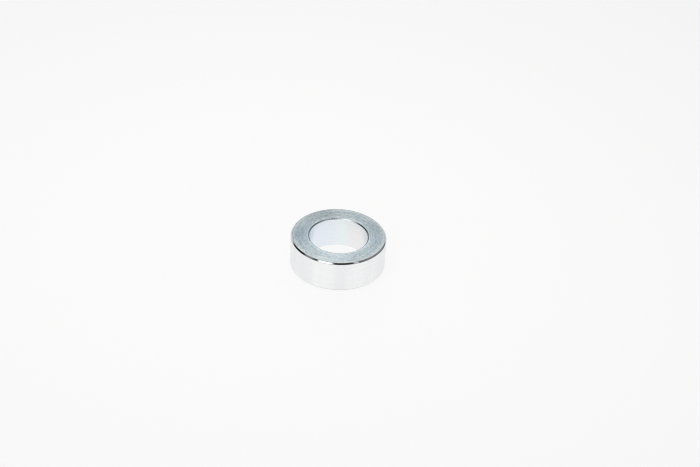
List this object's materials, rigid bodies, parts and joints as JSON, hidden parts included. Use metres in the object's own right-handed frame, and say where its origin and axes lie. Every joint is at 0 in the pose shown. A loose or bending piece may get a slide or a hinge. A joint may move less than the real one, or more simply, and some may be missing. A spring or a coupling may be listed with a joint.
{
  "type": "spacer",
  "caption": "Short round spacer ring with a plain through bore, square ends and chamfered edges; slides on an axle or bolt to hold parts a set distance apart.",
  "frame": {"origin": "centre of the lower end face, on the bore's axis", "axes": "+Z along the bore axis, up from the face the ring stands on; X and Y are free, because the ring is round"},
  "size_m": [0.02, 0.02, 0.0069],
  "materials": {
    "zinc_plate": "turned steel, bright zinc plated with a clear blue passivation: finely turned end faces, smooth bright outside and bore"
  },
  "bodies": {
    "root": {"spacer": "zinc_plate"}
  },
  "joints": []
}
